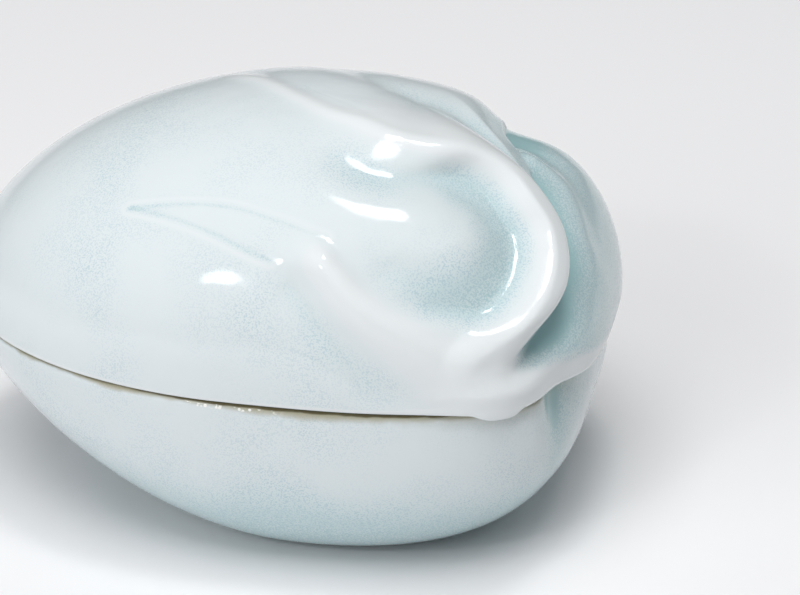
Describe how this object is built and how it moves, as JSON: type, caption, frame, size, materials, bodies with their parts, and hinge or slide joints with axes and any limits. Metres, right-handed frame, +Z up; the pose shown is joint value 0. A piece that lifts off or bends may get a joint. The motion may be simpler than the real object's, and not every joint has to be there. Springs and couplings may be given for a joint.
{
  "type": "incense box",
  "caption": "Bud-shaped glazed porcelain box for incense: a hollow lid with moulded overlapping leaves lifts off a hollow base with a raised inner collar.",
  "frame": {"origin": "middle of the box's overall outline, on the plane of the foot", "axes": "+X along the length toward the blunt end, -Y toward the side with the upper leaf, +Z up"},
  "size_m": [0.078, 0.058, 0.0492],
  "materials": {
    "base_glaze": "gloss",
    "lid_glaze": "gloss"
  },
  "bodies": {
    "base": {"base": "base_glaze"},
    "lid": {"lid": "lid_glaze"}
  },
  "joints": [
    {"name": "lid_lift", "type": "slide", "parent": "base", "child": "lid", "axis": [0, 0, 1], "range_m": [0, 0.06]}
  ]
}
